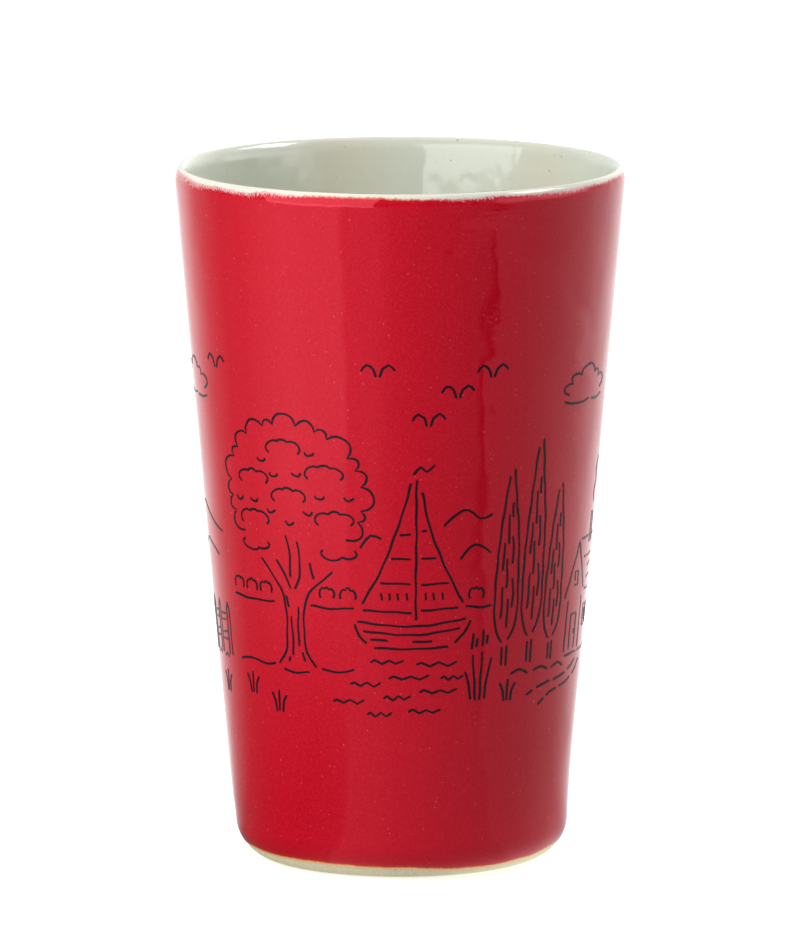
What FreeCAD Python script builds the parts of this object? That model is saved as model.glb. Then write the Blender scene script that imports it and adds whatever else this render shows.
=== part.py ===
import FreeCAD, Part
import math
import os

Vector = FreeCAD.Vector
Point2d = FreeCAD.Base.Vector2d

# Handleless stoneware tumbler: one fired clay body, a red glaze coat outside, a pale celadon glaze
# coat inside and over the lip, and a fired line drawing on the red glaze, one node for each motif.
# The table is z = 0, the cup's axis is Z, and azimuth 0 faces -Y, counted towards +X.

# Overall sizes of the glazed cup, in millimetres
CUP_HEIGHT = 126.5
RIM_DIAMETER = 82.0             # outer wall line where it reaches the rim plane
FOOT_CORNER_DIAMETER = 59.0     # outer wall line carried down to the table
LIP_THICKNESS = 2.4             # wall across the round of the lip, glazes included
LOW_WALL_THICKNESS = 4.0        # wall at the level of the inside floor, glazes included
FLOOR_THICKNESS = 5.2           # table to the glazed floor inside
FOOT_ROUND_RADIUS = 7.1         # clay corner between wall and foot
FLOOR_ROUND_RADIUS = 9.0        # glazed corner between wall and floor inside

# Foot ring and the hollow it stands round
FOOT_RING_WIDTH = 4.0
FOOT_WELL_DEPTH = 1.6
FOOT_WELL_ROUND_RADIUS = 1.0

# Glaze coats, and the tilted lines where the dipping stopped
GLAZE_THICKNESS = 0.3
SEAM_DEPTH = 1.6                # red glaze starts this far below the rim plane, on the axis
SEAM_TILT = 0.55                # degrees, lower on the left
FOOT_LINE_HEIGHT = 2.6          # bare clay up to here, on the axis
FOOT_LINE_TILT = 1.2            # degrees, higher on the left

# Fired line drawing
PICTURE_GROUND = 39.0           # level of the drawn ground above the table
PICTURE_HEIGHT = 50.0           # from the drawn ground up to the clouds
INK_WIDTH = 0.42
INK_THICKNESS = 0.05
PEN_STEP = 0.9                  # spacing of the points that a line is drawn through
PEN_WOBBLE = 0.06               # how far the hand strays from the line
WOBBLE_LENGTH = 5.0             # length of line over which the hand strays and comes back

# How the lines are drawn, as shares, counts and turns
SLOW_WOBBLE_SHARE = 0.6
WIDTH_UNEVEN_SHARE = 0.12
SCALLOP_DRIFT_SHARE = 0.22      # of one scallop
SCALLOP_FULLNESS = 1.9          # steps on a scallop against those on its straight line
SWELL_POWER = 0.65              # under 1 gives round scallops with steep ends
RIPPLE_SHARE = 0.03             # of the water's height
GRASS_DRIFT_SHARE = 0.03        # of the picture's height
BUSH_SPAN = 2.3                 # degrees from a bush's middle to its end
SEED_TURN = 2.3                 # radians, keeps neighbouring lines from straying alike
ARC_POINTS = 9
RIPPLE_POINTS = 10

PARTS_FOLDER = "parts"


# Profile of the cup, as points (radius, height)

def wall_radius(height):
    """Outer radius of the glazed wall line at a height."""
    slope = (RIM_DIAMETER - FOOT_CORNER_DIAMETER) / 2 / CUP_HEIGHT
    return FOOT_CORNER_DIAMETER / 2 + slope * height


def inner_radius(height):
    """Inner radius of the glazed wall line at a height."""
    top = RIM_DIAMETER / 2 - LIP_THICKNESS
    low = wall_radius(FLOOR_THICKNESS) - LOW_WALL_THICKNESS
    slope = (top - low) / (CUP_HEIGHT - FLOOR_THICKNESS)
    return low + slope * (height - FLOOR_THICKNESS)


class WallLine:
    """A straight wall line, with its outward normal and the distance of the line from the origin."""

    def __init__(self, radius_at, shift=0.0):
        run = radius_at(CUP_HEIGHT) - radius_at(0)
        length = math.hypot(run, CUP_HEIGHT)
        self.normal = (CUP_HEIGHT / length, -run / length)
        self.distance = radius_at(0) * self.normal[0] + shift

    def radius(self, height):
        return (self.distance - self.normal[1] * height) / self.normal[0]

    def nearest(self, centre, radius):
        """Tangent point of a circle on this line."""
        return (centre[0] + radius * self.normal[0], centre[1] + radius * self.normal[1])


def lip_circle():
    """Centre and radius of the glazed lip, tangent to both wall lines and to the rim plane."""
    outer = WallLine(wall_radius)
    inner = WallLine(inner_radius)
    o_r, o_z = outer.normal
    i_r, i_z = inner.normal
    # outer: o_r r + o_z z + q = d_o, inner: i_r r + i_z z - q = d_i, and z = height - q
    a = (1 - o_z) / o_r
    b = (outer.distance - o_z * CUP_HEIGHT) / o_r
    c = (1 + i_z) / i_r
    d = (inner.distance - i_z * CUP_HEIGHT) / i_r
    radius = (b - d) / (a + c)
    return (b - a * radius, CUP_HEIGHT - radius), radius


def corner_centre(line, radius, floor, side):
    """Centre of a corner circle tangent to a wall line and to the level floor."""
    height = floor + radius
    return ((line.distance + side * radius - line.normal[1] * height) / line.normal[0], height)


def to_vector(point):
    return Vector(point[0], 0, point[1])


def line_edge(start, end):
    return Part.makeLine(to_vector(start), to_vector(end))


def arc_edge(start, centre, radius, end):
    """Arc from start to end about a centre, on the side where the two points' middle lies."""
    middle = ((start[0] + end[0]) / 2 - centre[0], (start[1] + end[1]) / 2 - centre[1])
    reach = radius / math.hypot(*middle)
    through = (centre[0] + middle[0] * reach, centre[1] + middle[1] * reach)
    return Part.Arc(to_vector(start), to_vector(through), to_vector(end)).toShape()


def surface_path(inset):
    """Edges from the foot, up the outside, over the lip and down to the floor's centre.

    inset 0 gives the glazed surface and GLAZE_THICKNESS the clay under it."""
    outer = WallLine(wall_radius, -inset)
    inner = WallLine(inner_radius, inset)
    clay_outer = WallLine(wall_radius, -GLAZE_THICKNESS)
    foot_centre = corner_centre(clay_outer, FOOT_ROUND_RADIUS, 0, -1)
    foot_radius = FOOT_ROUND_RADIUS + GLAZE_THICKNESS - inset
    lip_centre, lip_radius = lip_circle()
    lip_radius -= inset
    floor_centre = corner_centre(WallLine(inner_radius), FLOOR_ROUND_RADIUS, FLOOR_THICKNESS, -1)
    floor_radius = FLOOR_ROUND_RADIUS + inset

    foot_bottom = (foot_centre[0], foot_centre[1] - foot_radius)
    foot_top = outer.nearest(foot_centre, foot_radius)
    lip_outer = outer.nearest(lip_centre, lip_radius)
    lip_top = (lip_centre[0], lip_centre[1] + lip_radius)
    lip_inner = inner.nearest(lip_centre, -lip_radius)
    floor_top = inner.nearest(floor_centre, floor_radius)
    floor_bottom = (floor_centre[0], floor_centre[1] - floor_radius)
    axis_point = (0, floor_bottom[1])
    edges = [
        arc_edge(foot_bottom, foot_centre, foot_radius, foot_top),
        line_edge(foot_top, lip_outer),
        arc_edge(lip_outer, lip_centre, lip_radius, lip_top),
        arc_edge(lip_top, lip_centre, lip_radius, lip_inner),
        line_edge(lip_inner, floor_top),
        arc_edge(floor_top, floor_centre, floor_radius, floor_bottom),
        line_edge(floor_bottom, axis_point),
    ]
    return edges, foot_bottom, axis_point


def revolve(edges):
    face = Part.Face(Part.Wire(Part.sortEdges(edges)[0]))
    return face.revolve(Vector(0, 0, 0), Vector(0, 0, 1), 360)


# Clay body: one piece with its floor, foot ring and the hollow under the foot

def foot_ring_edges(contact, axis_point):
    """Underside of the clay, from the axis out to where the foot's corner leaves the table."""
    ring_inner = contact[0] - FOOT_RING_WIDTH
    round_radius = FOOT_WELL_ROUND_RADIUS
    well_centre = (ring_inner - round_radius, FOOT_WELL_DEPTH - round_radius)
    ceiling = (well_centre[0], FOOT_WELL_DEPTH)
    shoulder = (ring_inner, well_centre[1])
    on_axis = (0, FOOT_WELL_DEPTH)
    return [
        line_edge(axis_point, on_axis),
        line_edge(on_axis, ceiling),
        arc_edge(ceiling, well_centre, round_radius, shoulder),
        line_edge(shoulder, (ring_inner, 0)),
        line_edge((ring_inner, 0), contact),
    ]


def make_clay_body():
    edges, contact, axis_point = surface_path(GLAZE_THICKNESS)
    return revolve(edges + foot_ring_edges(contact, axis_point))


# Glaze coats: one skin over the clay, parted at the seam below the lip and wiped off the foot

def make_full_coat():
    clay, clay_foot, clay_axis = surface_path(GLAZE_THICKNESS)
    glazed, glazed_foot, glazed_axis = surface_path(0)
    return revolve(
        clay + [line_edge(clay_axis, glazed_axis)] + glazed + [line_edge(glazed_foot, clay_foot)]
    )


def tilted_slab(height, tilt, depth):
    """Slab from a plane down by depth. A positive tilt lifts the plane on the right."""
    side = 2 * RIM_DIAMETER
    slab = Part.makeBox(side, side, depth, Vector(-side / 2, -side / 2, -depth))
    slab.rotate(Vector(0, 0, 0), Vector(0, 1, 0), -tilt)
    slab.translate(Vector(0, 0, height))
    return slab


def wall_middle_solid():
    """Solid out to the middle of the floor and wall, which parts the outer coat from the inner one."""
    floor_middle = FLOOR_THICKNESS / 2
    lip_centre, lip_radius = lip_circle()
    low = (wall_radius(floor_middle) - LOW_WALL_THICKNESS / 2, floor_middle)
    high = (lip_centre[0], CUP_HEIGHT)
    return revolve([
        line_edge((0, floor_middle), low),
        line_edge(low, high),
        line_edge(high, (0, CUP_HEIGHT)),
        line_edge((0, CUP_HEIGHT), (0, floor_middle)),
    ])


def make_glaze_coats():
    coat = make_full_coat()
    below_seam = tilted_slab(CUP_HEIGHT - SEAM_DEPTH, SEAM_TILT, CUP_HEIGHT)
    below_foot_line = tilted_slab(FOOT_LINE_HEIGHT, -FOOT_LINE_TILT, CUP_HEIGHT)
    outside_low = below_seam.cut(wall_middle_solid())
    liner = coat.cut(outside_low)
    red = coat.common(outside_low).cut(below_foot_line)
    return red, liner


# Pen strokes: ribbons of ink that lie on the glazed wall

def wall_surface():
    """The glazed wall as a cone, with azimuth as its first parameter and slant length as its second."""
    return Part.Cone(Vector(0, 0, 0), Vector(0, 0, CUP_HEIGHT), wall_radius(0), wall_radius(CUP_HEIGHT))


class Motif:
    """One drawn thing: azimuth and span in degrees, and foot and height as shares of the picture.

    Its lines are given in shares (across, up) of its own width and height, across from its middle."""

    def __init__(self, azimuth, span, foot_share, height_share):
        self.azimuth = azimuth
        self.foot = PICTURE_GROUND + foot_share * PICTURE_HEIGHT
        self.height = height_share * PICTURE_HEIGHT
        self.radius = wall_radius(self.foot + self.height / 2)
        self.width = self.radius * math.radians(span)
        self.lines = []

    def place(self, share):
        """Length along the wall and height above the table of a share (across, up)."""
        return (share[0] * self.width, self.foot + share[1] * self.height)

    def lines_through(self, share_lists):
        """Lines with sharp corners, one through each list of shares."""
        for shares in share_lists:
            self.lines.append(spread([self.place(s) for s in shares]))

    def curves_through(self, share_lists):
        """Smooth lines, one through each list of shares."""
        for shares in share_lists:
            self.lines.append(smooth([self.place(s) for s in shares]))

    def ring_place(self, centre_share, reach_shares, angle, swell=1.0):
        """Point on an ellipse about a centre, at an angle in degrees."""
        turn = math.radians(angle)
        return self.place((
            centre_share[0] + reach_shares[0] * swell * math.cos(turn),
            centre_share[1] + reach_shares[1] * swell * math.sin(turn),
        ))

    def arc(self, centre_share, reach_shares, start, end):
        """Part of an ellipse about a centre, from one angle to another in degrees."""
        last = ARC_POINTS - 1
        turn = (end - start) / last
        self.lines.append(smooth([
            self.ring_place(centre_share, reach_shares, start + turn * i) for i in range(ARC_POINTS)
        ]))

    def scallops(self, centre_share, reach_shares, start, end, count, swell_share):
        """One line of outward bulges round an ellipse, as leaves and clouds are sketched."""
        turn = (end - start) / count
        drifts = [SCALLOP_DRIFT_SHARE * math.sin(SEED_TURN * i + centre_share[0]) for i in range(count + 1)]
        drifts[0] = drifts[-1] = 0
        points = [self.ring_place(centre_share, reach_shares, start)]
        for i in range(count):
            low = start + turn * (i + drifts[i])
            high = start + turn * (i + 1 + drifts[i + 1])
            next_place = self.ring_place(centre_share, reach_shares, high)
            steps = max(3, round(SCALLOP_FULLNESS * math.dist(points[-1], next_place) / PEN_STEP))
            for j in range(1, steps + 1):
                bulge = math.sin(math.pi * (j / steps)) ** SWELL_POWER
                swell = 1 + swell_share * (high - low) / turn * bulge
                angle = low + (high - low) * j / steps
                points.append(self.ring_place(centre_share, reach_shares, angle, swell))
        self.lines.append(points)

    def solids(self, surface):
        """The ribbons of ink, seated on the wall and as thick as the ink is."""
        return [ink_ribbon(self, points, seed, surface) for seed, points in enumerate(self.lines)]


def spread(points):
    """Points along the straight runs, PEN_STEP apart, with every corner kept."""
    out = [points[0]]
    for start, end in zip(points, points[1:]):
        pieces = max(1, round(math.dist(start, end) / PEN_STEP))
        for i in range(1, pieces + 1):
            out.append(tuple(a + (b - a) * i / pieces for a, b in zip(start, end)))
    return out


def smooth(points):
    """Points along a smooth curve through the given ones, about PEN_STEP apart."""
    out = [points[0]]
    last = len(points) - 1
    for i in range(last):
        four = (points[max(i - 1, 0)], points[i], points[i + 1], points[min(i + 2, last)])
        pieces = max(1, round(math.dist(points[i], points[i + 1]) / PEN_STEP))
        for j in range(1, pieces + 1):
            out.append(tuple(catmull_rom(*values, j / pieces) for values in zip(*four)))
    return out


def catmull_rom(a, b, c, d, t):
    """Value at t on the curve from b to c, which a and d lead into and out of."""
    bend = 2 * a - 5 * b + 4 * c - d
    twist = 3 * b - a - 3 * c + d
    return b + ((c - a) * t + bend * t ** 2 + twist * t ** 3) / 2


def unit(start, end):
    length = math.dist(start, end)
    return ((end[0] - start[0]) / length, (end[1] - start[1]) / length)


def pointed_tip(inner, end):
    """Point half a line's width beyond the end of a line."""
    out = unit(inner, end)
    return (end[0] + out[0] * INK_WIDTH / 2, end[1] + out[1] * INK_WIDTH / 2)


def ink_outline(points, seed):
    """Closed outline of one stroke in lengths on the wall, with the hand's wobble and pointed ends."""
    last = len(points) - 1
    middle, left, right = [], [], []
    for i, point in enumerate(points):
        along = unit(points[max(i - 1, 0)], points[min(i + 1, last)])
        across = (-along[1], along[0])
        turn = 2 * math.pi * i * PEN_STEP / WOBBLE_LENGTH + SEED_TURN * seed
        stray = PEN_WOBBLE * (math.sin(turn) + SLOW_WOBBLE_SHARE * math.sin(turn / 3 + seed))
        half = INK_WIDTH / 2 * (1 + WIDTH_UNEVEN_SHARE * math.sin(turn / 2 - seed))
        middle.append(tuple(p + a * stray for p, a in zip(point, across)))
        left.append(tuple(m + a * half for m, a in zip(middle[-1], across)))
        right.append(tuple(m - a * half for m, a in zip(middle[-1], across)))
    return [pointed_tip(middle[1], middle[0])] + left + [pointed_tip(middle[-2], middle[-1])] + right[::-1]


def ink_ribbon(motif, points, seed, surface):
    """One stroke: its outline drawn on the wall's cone and thickened straight out from the wall."""
    slant = math.cos(surface.SemiAngle)
    middle = math.radians(motif.azimuth)
    ring = []
    for along, height in ink_outline(points, seed):
        ring.append(Point2d(middle + along / motif.radius, height / slant))
    edges = [Part.Geom2d.Line2dSegment(a, b).toShape(surface) for a, b in zip(ring, ring[1:] + ring[:1])]
    face = Part.Face(surface, Part.Wire(edges))
    face.validate()
    azimuth = middle + points[len(points) // 2][0] / motif.radius
    return face.extrude(Vector(math.sin(azimuth), -math.cos(azimuth), 0) * INK_THICKNESS)


# The drawing: a generic lakeside that runs round the cup, with one function for each kind of thing

def draw_oak():
    oak = Motif(azimuth=-34, span=54, foot_share=0.0, height_share=0.93)
    trunk_shares = (
        ((-0.125, 0.012), (-0.07, 0.06), (-0.055, 0.14), (-0.055, 0.22), (-0.085, 0.31), (-0.21, 0.42)),
        ((0.13, 0.010), (0.075, 0.06), (0.06, 0.14), (0.065, 0.22), (0.105, 0.30), (0.25, 0.39)),
        ((-0.10, 0.42), (-0.045, 0.36), (-0.015, 0.315)),
        ((0.015, 0.315), (0.045, 0.36), (0.055, 0.44), (0.04, 0.50)),
        ((0.115, 0.42), (0.135, 0.36)),
        ((-0.015, 0.36), (-0.01, 0.44), (-0.03, 0.52)),
    )
    bark_shares = (
        ((-0.022, 0.05), (-0.018, 0.13), (-0.022, 0.20)),
        ((0.022, 0.09), (0.024, 0.17), (0.03, 0.24)),
        ((-0.035, 0.24), (-0.045, 0.28)),
        ((0.06, 0.03), (0.04, 0.06)),
        ((-0.055, 0.025), (-0.045, 0.04)),
    )
    ground_shares = (
        ((-0.47, 0.0), (-0.36, 0.012), (-0.25, 0.0), (-0.16, 0.008)),
        ((-0.09, -0.012), (0.0, -0.02), (0.08, -0.012)),
        ((0.17, 0.006), (0.26, -0.006), (0.36, 0.008)),
    )
    oak.curves_through(trunk_shares + bark_shares + ground_shares)
    oak.scallops((0.0, 0.69), (0.43, 0.275), -38, 218, 17, 0.11)
    oak.scallops((-0.25, 0.495), (0.095, 0.035), 190, 345, 2, 0.35)
    oak.scallops((0.29, 0.485), (0.095, 0.035), 195, 350, 2, 0.35)
    cluster_shares = ((-0.24, 0.72), (0.22, 0.76), (-0.02, 0.85), (0.27, 0.58), (-0.25, 0.56), (0.0, 0.66))
    for cluster_share in cluster_shares:
        oak.scallops(cluster_share, (0.095, 0.045), 0, 185, 3, 0.22)
    leaf_shares = (
        (-0.09, 0.765), (0.06, 0.775), (0.355, 0.69), (-0.17, 0.82), (0.12, 0.625), (-0.12, 0.62),
        (0.19, 0.69), (-0.36, 0.655), (0.14, 0.86), (-0.24, 0.655), (0.0, 0.58),
    )
    for leaf_share in leaf_shares:
        oak.arc(leaf_share, (0.026, 0.014), 190, 350)
    return [oak]


def draw_sailboat():
    boat = Motif(azimuth=4, span=36, foot_share=0.10, height_share=0.64)
    hull_shares = (
        ((-0.47, 0.135), (-0.20, 0.115), (0.10, 0.115), (0.45, 0.145)),
        ((-0.50, 0.115), (-0.46, 0.055), (-0.40, 0.012)),
        ((-0.33, -0.012), (0.0, -0.02), (0.30, -0.012)),
        ((0.365, 0.012), (0.44, 0.065), (0.50, 0.13)),
        ((-0.42, 0.080), (-0.15, 0.065), (0.10, 0.065), (0.40, 0.092)),
        ((-0.36, 0.035), (-0.22, 0.028)),
        ((0.0, 0.022), (0.16, 0.025)),
    )
    sail_shares = (
        ((-0.025, 0.93), (-0.11, 0.72), (-0.25, 0.46), (-0.43, 0.24)),
        ((0.065, 0.88), (0.13, 0.68), (0.26, 0.45), (0.42, 0.245)),
        ((0.0, 0.985), (0.05, 1.03), (0.10, 1.0), (0.16, 1.035)),
    )
    boat.curves_through(hull_shares + sail_shares)
    rigging_shares = (
        ((0.02, 0.15), (0.02, 0.95)),
        ((-0.42, 0.20), (-0.02, 0.19)),
        ((0.07, 0.20), (0.38, 0.215)),
        ((-0.11, 0.64), (-0.03, 0.64)), ((-0.18, 0.50), (-0.03, 0.50)), ((-0.27, 0.36), (-0.03, 0.355)),
        ((0.07, 0.66), (0.10, 0.66)), ((0.07, 0.50), (0.18, 0.505)), ((0.07, 0.35), (0.29, 0.355)),
    )
    boat.lines_through(rigging_shares)
    reef_shares = [(-0.27 + 0.07 * i, 0.30) for i in range(4)] + [(0.10 + 0.07 * i, 0.30) for i in range(3)]
    for across, up in reef_shares:
        boat.lines_through([((across, up), (across + 0.005, up - 0.035))])
    return [boat]


def draw_water():
    """Ripples under the boat, in five broken rows."""
    water = Motif(azimuth=4, span=62, foot_share=-0.155, height_share=0.22)
    ripples = (
        (-0.13, 0.88, 0.16), (0.12, 0.84, 0.20), (-0.02, 0.62, 0.20), (0.20, 0.60, 0.11), (-0.24, 0.50, 0.15),
        (0.13, 0.38, 0.19), (-0.08, 0.28, 0.13), (-0.33, 0.20, 0.16), (0.06, 0.05, 0.16), (-0.17, 0.0, 0.12),
    )
    last = RIPPLE_POINTS - 1
    for across_share, up_share, length_share in ripples:
        ripple = []
        for i in range(RIPPLE_POINTS):
            across = across_share + length_share * (i / last - 0.5)
            ripple.append((across, up_share + RIPPLE_SHARE * math.sin(math.pi * i / 2)))
        water.curves_through([ripple])
    return [water]


def draw_far_shore():
    """Far bank with bushes and hills over it, left open where nearer things stand."""
    motifs = []
    stretches = (
        (-50, 20, ((-0.5, 0.0), (-0.1, -0.02), (0.42, -0.01)), (-0.37, -0.05, 0.27)),
        (-21, 15, ((-0.46, -0.01), (0.0, -0.03), (0.45, -0.01)), (-0.10, 0.34)),
        (24.5, 10, ((-0.42, 0.0), (0.0, -0.02), (0.40, -0.01)), (-0.1,)),
        (101, 12, ((-0.4, 0.0), (0.4, 0.01)), (-0.1,)),
    )
    for azimuth, span, bank_shares, bush_shares in stretches:
        shore = Motif(azimuth, span, foot_share=0.24, height_share=0.40)
        shore.curves_through([bank_shares])
        for bush_share in bush_shares:
            shore.scallops((bush_share, 0.055), (BUSH_SPAN / span, 0.10), 10, 170, 3, 0.20)
        motifs.append(shore)
    ridges = (
        (-8.5, 7, ((-0.45, 0.50), (0.0, 0.66), (0.42, 0.62))),
        (20.5, 17, ((-0.45, 0.78), (-0.1, 0.98), (0.2, 0.86), (0.42, 0.90))),
        (22.5, 12, ((-0.36, 0.34), (0.0, 0.52), (0.42, 0.40))),
        (-86, 40, ((-0.5, 0.30), (-0.25, 0.62), (0.05, 0.78), (0.30, 0.60), (0.5, 0.48))),
        (-80, 24, ((-0.5, 0.10), (-0.1, 0.30), (0.4, 0.16))),
        (-128, 34, ((-0.5, 0.62), (-0.2, 0.88), (0.1, 0.98), (0.5, 0.66))),
        (123, 44, ((-0.5, 0.42), (-0.2, 0.86), (0.1, 0.70), (0.5, 0.92))),
    )
    for azimuth, span, shares in ridges:
        hill = Motif(azimuth, span, foot_share=0.32, height_share=0.28)
        hill.curves_through([shares])
        motifs.append(hill)
    return motifs


def draw_poplars():
    motifs = []
    outline_shares = (
        ((-0.11, 0.13), (-0.34, 0.22), (-0.38, 0.42), (-0.30, 0.62), (-0.20, 0.80), (-0.08, 0.95)),
        ((0.12, 0.14), (0.36, 0.24), (0.36, 0.45), (0.31, 0.64), (0.18, 0.82), (0.07, 0.985)),
        ((-0.08, 0.015), (-0.075, 0.10)),
        ((0.09, 0.01), (0.08, 0.105)),
        ((-0.17, 0.25), (-0.14, 0.32), (-0.15, 0.40)),
        ((0.03, 0.20), (0.05, 0.27), (0.03, 0.34)),
        ((0.19, 0.30), (0.20, 0.37), (0.17, 0.44)),
        ((-0.03, 0.40), (-0.01, 0.47), (-0.04, 0.54)),
        ((-0.17, 0.49), (-0.14, 0.55), (-0.15, 0.62)),
        ((0.14, 0.52), (0.14, 0.58), (0.11, 0.65)),
        ((-0.03, 0.62), (-0.02, 0.69), (-0.04, 0.76)),
        ((0.09, 0.75), (0.07, 0.82)),
    )
    for azimuth, height_share in ((34, 0.74), (44, 0.84), (54, 0.66)):
        poplar = Motif(azimuth, 11, foot_share=0.0, height_share=height_share)
        poplar.curves_through(outline_shares)
        motifs.append(poplar)
    ground = Motif(azimuth=44, span=32, foot_share=-0.035, height_share=0.04)
    for azimuth_share in (-0.10, 0.20, 0.48):
        ground.curves_through([(
            (azimuth_share - 0.11, 0.2), (azimuth_share, 0.5), (azimuth_share + 0.10, 0.1),
        )])
    motifs.append(ground)
    return motifs


def draw_cottage():
    cottage = Motif(azimuth=78, span=34, foot_share=0.0, height_share=0.54)
    frame_shares = (
        ((-0.44, 0.03), (-0.43, 0.37)), ((-0.09, 0.03), (-0.09, 0.37)), ((0.43, 0.03), (0.43, 0.36)),
        ((-0.50, 0.40), (-0.27, 0.76), (-0.055, 0.43)),
        ((-0.22, 0.775), (0.0, 0.775)), ((0.14, 0.775), (0.30, 0.775), (0.49, 0.41)),
        ((0.01, 0.41), (0.43, 0.40)), ((-0.41, 0.0), (-0.13, 0.0)), ((-0.06, 0.0), (0.40, 0.005)),
    )
    opening_shares = (
        ((0.035, 0.73), (0.035, 0.93), (0.11, 0.93), (0.11, 0.73)),
        ((-0.34, 0.04), (-0.34, 0.27), (-0.21, 0.27), (-0.21, 0.04)),
        ((0.04, 0.16), (0.04, 0.30), (0.16, 0.30), (0.16, 0.16), (0.07, 0.16)),
        ((0.25, 0.16), (0.25, 0.30), (0.37, 0.30), (0.37, 0.16), (0.28, 0.16)),
        ((0.10, 0.195), (0.10, 0.265)), ((0.31, 0.195), (0.31, 0.265)),
        ((-0.31, 0.47), (-0.24, 0.47), (-0.24, 0.56), (-0.31, 0.56), (-0.31, 0.505)),
        ((-0.245, 0.14), (-0.245, 0.16)),
    )
    tile_shares = [((-0.10 + 0.10 * i, 0.64), (-0.05 + 0.10 * i, 0.64)) for i in range(4)]
    tile_shares += [((0.06 + 0.10 * i, 0.57), (0.11 + 0.10 * i, 0.57)) for i in range(3)]
    tile_shares += [((0.05 + 0.10 * i, 0.49), (0.10 + 0.10 * i, 0.49)) for i in range(3)]
    cottage.lines_through(frame_shares + opening_shares + tuple(tile_shares))
    cottage.curves_through([((0.075, 1.0), (0.045, 1.07), (0.11, 1.14), (0.075, 1.22), (0.13, 1.30))])
    return [cottage]


def draw_fence():
    """Post-and-rail fence, with each rail drawn between the posts."""
    fence = Motif(azimuth=-83, span=36, foot_share=0.0, height_share=0.18)
    bays = 4
    bay_share = 0.88 / bays
    post_share = 0.028
    for i in range(bays + 1):
        middle = (i - bays / 2) * bay_share
        left, right = middle - post_share, middle + post_share
        fence.lines_through([((left, 0.0), (left, 0.92), (middle, 1.06), (right, 0.92), (right, 0.0))])
    for i in range(bays):
        start = (i - bays / 2) * bay_share + 2.3 * post_share
        end = start + bay_share - 4.6 * post_share
        fence.lines_through([((start, up), (end, up + 0.02)) for up in (0.28, 0.42, 0.66, 0.80)])
        fence.curves_through([((start, -0.06), ((start + end) / 2, 0.0), (end, -0.07))])
    return [fence]


def draw_reeds():
    motifs = []
    blade_shares = (
        ((-0.12, 0.0), (-0.19, 0.35), (-0.27, 0.66)),
        ((0.05, 0.0), (0.06, 0.40), (0.08, 0.70)),
        ((0.22, 0.02), (0.31, 0.36), (0.46, 0.60)),
        ((-0.30, 0.02), (-0.40, 0.24), (-0.52, 0.42)),
    )
    for azimuth, size_share in ((25.5, 1.0), (232, 1.0), (243, 0.8)):
        reeds = Motif(azimuth, 9 * size_share, foot_share=-0.11, height_share=0.25 * size_share)
        reeds.curves_through(blade_shares)
        for across, up in ((0.09, 0.80), (-0.31, 0.76)):
            reeds.curves_through([
                ((across, up), (across + 0.01, up + 0.11), (across + 0.03, up + 0.22)),
                ((across + 0.15, up + 0.03), (across + 0.19, up + 0.14)),
            ])
        motifs.append(reeds)
    return motifs


def draw_grass():
    motifs = []
    blade_shares = (
        ((-0.19, 0.0), (-0.25, 0.50), (-0.48, 0.85)),
        ((0.02, 0.04), (0.0, 0.60), (0.04, 1.0)),
        ((0.23, 0.0), (0.30, 0.45), (0.52, 0.80)),
    )
    for i, azimuth in enumerate((-72, -54, -42, 36, 92, 101, 130, 149, 166, 199, 209, 222)):
        foot_share = -0.14 + GRASS_DRIFT_SHARE * math.sin(SEED_TURN * i)
        tuft = Motif(azimuth, 6, foot_share, height_share=0.075)
        tuft.curves_through(blade_shares)
        motifs.append(tuft)
    return motifs


def draw_footpath():
    """Two broken lines that wind down from the cottage."""
    path = Motif(azimuth=54, span=42, foot_share=-0.14, height_share=0.13)
    edge_shares = (
        ((0.46, 0.86), (0.40, 0.76), (0.32, 0.66)),
        ((0.26, 0.60), (0.18, 0.53), (0.09, 0.49)),
        ((0.03, 0.47), (-0.05, 0.43), (-0.12, 0.37)),
        ((-0.17, 0.31), (-0.23, 0.21)),
        ((0.58, 0.80), (0.50, 0.60), (0.43, 0.48)),
        ((0.37, 0.40), (0.28, 0.30), (0.19, 0.24)),
        ((0.13, 0.22), (0.06, 0.16), (0.01, 0.08)),
        ((-0.03, 0.0), (-0.09, -0.12)),
    )
    path.curves_through(edge_shares)
    return [path]


def draw_birches():
    grove = Motif(azimuth=180, span=62, foot_share=0.0, height_share=0.88)
    trunk_half_share = 0.030
    trunks = ((-0.43, 0.90), (-0.21, 1.0), (0.01, 0.86), (0.22, 1.02), (0.45, 0.92))
    for i, (across_share, top_share) in enumerate(trunks):
        lean = 0.02 * math.sin(SEED_TURN * i + 1)
        crown_share = (top_share - 0.52) / 2
        for side in (-1, 1):
            edge = across_share + side * trunk_half_share
            root = edge + 0.5 * side * trunk_half_share
            grove.curves_through([
                ((root, 0.0), (edge, 0.12), (edge + 0.6 * lean, 0.36), (edge + lean, 0.50)),
            ])
        for j in range(4):
            up = 0.10 + 0.10 * j + 0.02 * math.sin(SEED_TURN * i + j)
            left = across_share + 0.2 * lean * j - 0.2 * trunk_half_share
            grove.lines_through([((left, up), (left + 0.4 * trunk_half_share, up + 0.004))])
        crown = (across_share + 1.2 * lean, 0.54 + crown_share)
        grove.scallops(crown, (0.077, crown_share), -60, 240, 8, 0.12)
        grove.scallops((crown[0] - 0.01, crown[1] + 0.02), (0.036, 0.035), 10, 170, 2, 0.25)
        grove.scallops((crown[0] + 0.005, crown[1] - 0.09), (0.036, 0.030), 10, 170, 2, 0.25)
        grove.curves_through([(
            (across_share - 0.07, -0.022), (across_share, -0.030), (across_share + 0.07, -0.020),
        )])
    return [grove]


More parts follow.
